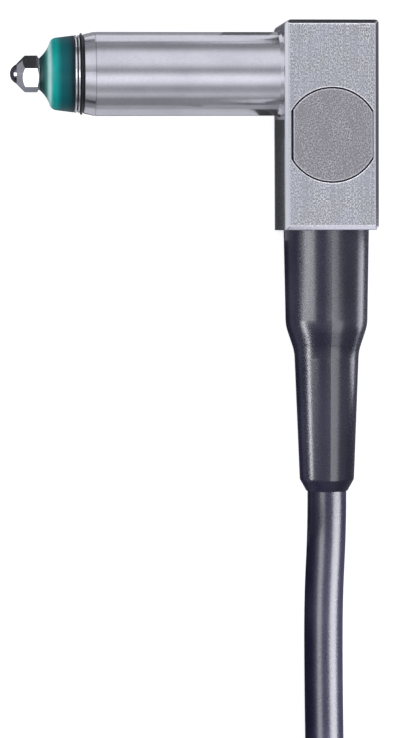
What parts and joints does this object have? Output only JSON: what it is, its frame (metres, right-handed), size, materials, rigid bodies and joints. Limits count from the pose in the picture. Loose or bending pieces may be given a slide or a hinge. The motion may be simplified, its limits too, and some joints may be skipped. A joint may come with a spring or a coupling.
{
  "type": "linear gauge probe",
  "caption": "Pencil probe with a spring-loaded plunger in a ground clamping stem, bellows at its nose, and a cable that leaves a block at a right angle.",
  "frame": {"origin": "on the housing's back face, below the point where the axes of stem and cable outlet cross; the probe lies on that face", "axes": "-X is the way the stem and its plunger point, -Y the way the cable leaves, +Z from the back face to the face with the cover"},
  "size_m": [0.0637, 0.1338, 0.0188],
  "materials": {
    "housing_metal": "fine ground, satin",
    "cover_metal": "fine ground, satin",
    "stem_steel": "ground, nearly mirror",
    "tip_steel": "turned, bright",
    "ball_steel": "polished",
    "wire_steel": "drawn wire",
    "hardened_steel": "ground",
    "green_rubber": "smooth, slightly glossy",
    "black_rubber": "satin",
    "boot_rubber": "satin",
    "cable_jacket": "satin",
    "brass": "turned",
    "copper_wire": "enamelled",
    "ferrite": "sintered, matte",
    "bobbin_plastic": "moulded",
    "lead_insulation": "insulation",
    "board_green": "lacquered board",
    "gold_contact": "gold plated",
    "tie_plastic": "moulded nylon",
    "plug_metal": "nickel plated, satin",
    "shell_nickel": "nickel plated",
    "insert_plastic": "moulded"
  },
  "bodies": {
    "housing": {"outlet_housing": "housing_metal", "access_cover": "cover_metal", "clamping_stem": "stem_steel", "nose_bush": "stem_steel", "seal_ring": "black_rubber", "clamp_rings": "wire_steel", "bellows": "green_rubber", "return_spring": "wire_steel", "guide_bush": "hardened_steel", "coil_bobbin": "bobbin_plastic", "coil_windings": "copper_wire", "coil_shield": "hardened_steel", "coil_retainer": "brass", "coil_leads": "lead_insulation", "terminal_board": "board_green", "terminal_pins": "gold_contact", "cable_cores": "lead_insulation", "cable_nipple": "brass", "crimp_sleeve": "brass", "strain_relief": "boot_rubber", "cable_entry": "cable_jacket", "cable_lead": "cable_jacket", "cable_coil": "cable_jacket", "cable_tie": "tie_plastic", "cable_tail": "cable_jacket", "plug_boot": "black_rubber", "plug_body": "plug_metal", "plug_shell": "shell_nickel", "plug_insert": "insert_plastic", "plug_pins": "gold_contact"},
    "plunger": {"plunger": "hardened_steel", "contact_tip": "tip_steel", "contact_ball": "ball_steel", "stop_collar": "brass", "anti_rotation_pin": "hardened_steel", "core_rod": "brass", "ferrite_core": "ferrite"},
    "ball_cage": {"ball_cage": "brass", "guide_balls": "ball_steel"}
  },
  "joints": [
    {"name": "plunger_slide", "type": "slide", "parent": "housing", "child": "plunger", "axis": [1, 0, 0], "range_m": [0, 0.0015], "stiffness_N_per_m": 150, "springref_m": -0.002, "deforming": ["bellows", "return_spring"]},
    {"name": "cage_slide", "type": "slide", "parent": "housing", "child": "ball_cage", "axis": [1, 0, 0], "range_m": [0, 0.00075]}
  ],
  "couplings": [
    {"joint": "cage_slide", "follows": "plunger_slide", "ratio": 0.5}
  ]
}
